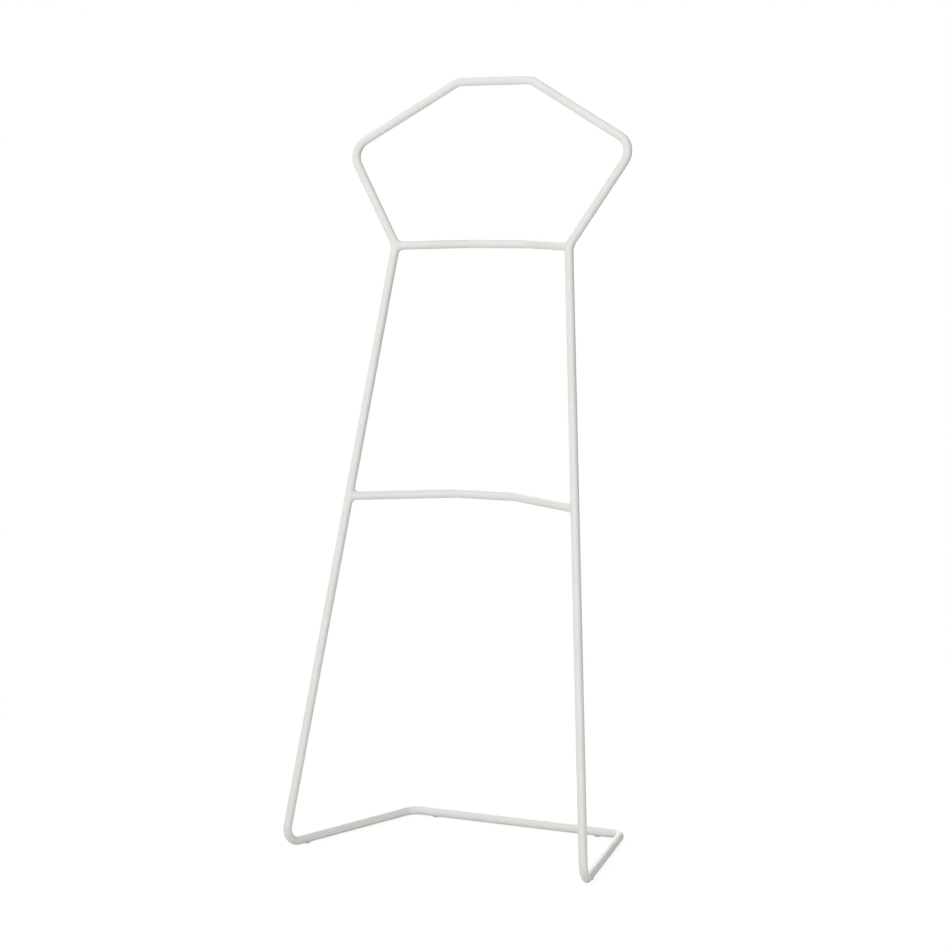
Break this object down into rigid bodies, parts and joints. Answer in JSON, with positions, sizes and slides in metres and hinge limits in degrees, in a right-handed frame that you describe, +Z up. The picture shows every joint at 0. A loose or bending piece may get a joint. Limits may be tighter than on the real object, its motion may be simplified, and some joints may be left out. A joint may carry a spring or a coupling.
{
  "type": "valet stand",
  "caption": "Free-standing tubular valet stand: a hexagonal shoulder hoop on splayed, back-leaning legs with bowed crossbars and a trapezoid floor base.",
  "frame": {"origin": "on the floor under the middle of the stand's footprint", "axes": "+Z up, +X to the right as seen from the front, +Y towards the rear rail; the stand is symmetric about the plane X = 0 and leans back towards +Y"},
  "size_m": [0.5074, 0.2602, 1.1237],
  "materials": {
    "coated_tube": "satin off-white powder coat",
    "coated_weld": "satin off-white powder coat over a dressed weld",
    "clear_glide": "clear soft polyurethane"
  },
  "bodies": {
    "root": {"head_hoop": "coated_tube", "leg_and_base_tube": "coated_tube", "upper_crossbar": "coated_tube", "lower_crossbar": "coated_tube", "upper_weld_left": "coated_weld", "upper_weld_right": "coated_weld", "lower_weld_left": "coated_weld", "lower_weld_right": "coated_weld", "glide_front_left": "clear_glide", "glide_front_right": "clear_glide", "glide_rear_left": "clear_glide", "glide_rear_right": "clear_glide"}
  },
  "joints": []
}
